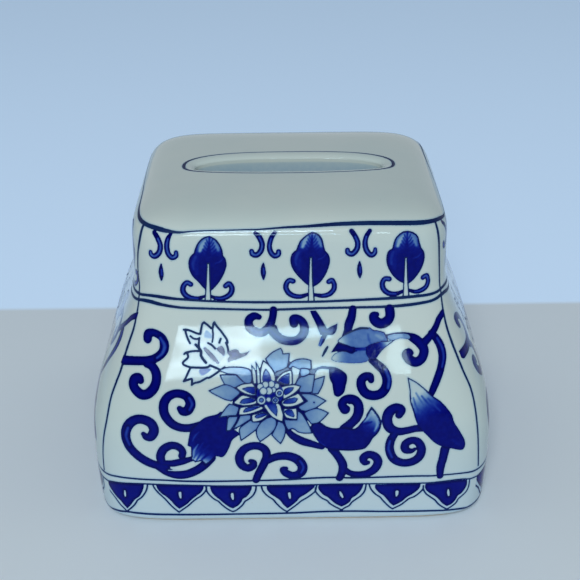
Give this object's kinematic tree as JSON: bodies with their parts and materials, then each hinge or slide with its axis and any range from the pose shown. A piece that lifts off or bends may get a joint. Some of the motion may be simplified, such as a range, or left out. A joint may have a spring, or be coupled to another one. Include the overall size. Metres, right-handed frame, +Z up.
{
  "type": "tissue box cover",
  "caption": "Square glazed porcelain cover for a cube tissue box, bell-flared skirt, soft domed cap with a long oval slot, open underneath, blue lotus scroll painted on white",
  "frame": {"origin": "middle of the footprint, on the surface the cover stands on", "axes": "+Z up, X along the oval slot, the front side faces -Y"},
  "size_m": [0.19, 0.19, 0.148],
  "materials": {
    "blue_and_white_glaze": "clear gloss glaze over white porcelain, with cobalt painting under the glaze",
    "unglazed_porcelain": "bare fired clay, matt, ground flat"
  },
  "bodies": {
    "root": {"glazed_shell": "blue_and_white_glaze", "bare_foot_ring": "unglazed_porcelain"}
  },
  "joints": []
}
